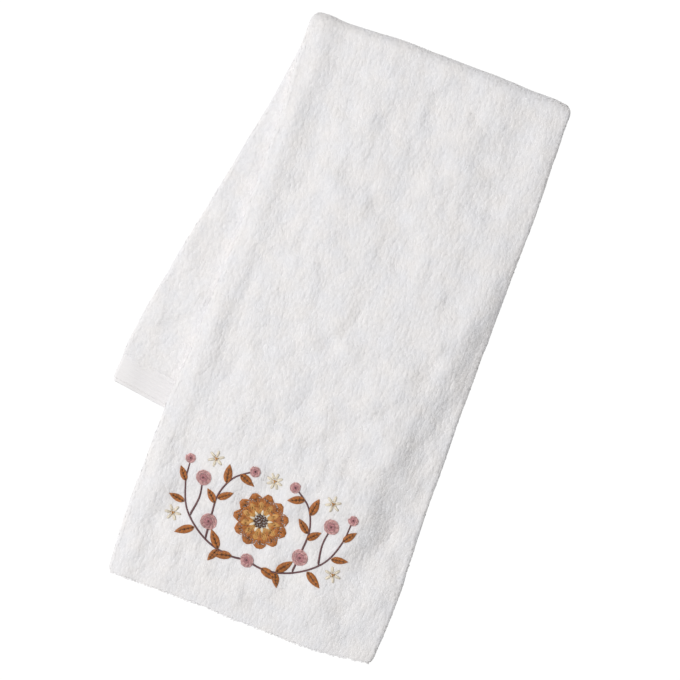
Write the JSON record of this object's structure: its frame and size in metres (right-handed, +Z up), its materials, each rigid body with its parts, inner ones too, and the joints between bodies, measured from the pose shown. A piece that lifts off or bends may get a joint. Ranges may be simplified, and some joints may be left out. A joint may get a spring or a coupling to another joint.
{
  "type": "hand towel",
  "caption": "Folded cotton terry hand towel with flat-woven hems, laid flat with its back half swung out to one side.",
  "frame": {"origin": "middle of the foot of the folded towel's box, on the surface that it lies on", "axes": "+Y along the front half, from its hem towards the cross fold; +Z up through the layers; +X across, away from the side on which the back half swings out"},
  "size_m": [0.2544, 0.4452, 0.0179],
  "materials": {
    "terry": "matt white cotton terry",
    "embroidery_thread": "satin embroidery thread in browns, cream, rose and plum"
  },
  "bodies": {
    "root": {"towel": "terry"}
  },
  "joints": []
}
